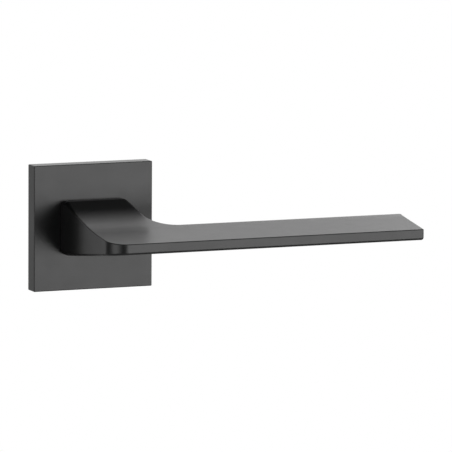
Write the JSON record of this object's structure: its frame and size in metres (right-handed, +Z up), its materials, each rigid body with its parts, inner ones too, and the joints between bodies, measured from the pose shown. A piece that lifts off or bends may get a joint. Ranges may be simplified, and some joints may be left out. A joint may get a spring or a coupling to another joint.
{
  "type": "door lever handle",
  "caption": "Flat door lever on a slim square rose, with a sprung bearing, a square spindle, through bolts and wood screws behind it.",
  "frame": {"origin": "on the spindle axis, in the plane of the door face (the back of the rose)", "axes": "+X along the lever towards its tip, +Y into the door along the spindle, +Z up"},
  "size_m": [0.1506, 0.106, 0.052],
  "materials": {
    "lever_coat": "satin",
    "rose_coat": "satin",
    "zinc_casting": "satin",
    "zinc_steel": "satin",
    "spring_steel": "satin",
    "black_steel": "satin",
    "acetal": "matte"
  },
  "bodies": {
    "rose": {"rose_cover": "rose_coat", "guide_ring": "acetal", "base_plate": "zinc_casting", "bearing_bush": "acetal", "return_spring": "spring_steel", "through_bolts": "zinc_steel", "wood_screws": "zinc_steel", "support_lug_upper": "zinc_steel", "support_lug_lower": "zinc_steel", "cover_clip_1": "spring_steel", "cover_clip_2": "spring_steel", "cover_clip_3": "spring_steel", "cover_clip_4": "spring_steel"},
    "lever": {"lever_handle": "lever_coat", "spindle": "zinc_steel", "grub_screw": "black_steel", "drive_ring": "zinc_steel", "circlip": "spring_steel", "disc_spring": "spring_steel", "slip_washer": "acetal"}
  },
  "joints": [
    {"name": "lever_turn", "type": "hinge", "parent": "rose", "child": "lever", "pos_m": [0, 0, 0], "axis": [0, 1, 0], "range_deg": [0, 45], "stiffness_Nm_per_rad": 0.17, "springref_deg": -60, "deforming": ["return_spring"]}
  ]
}
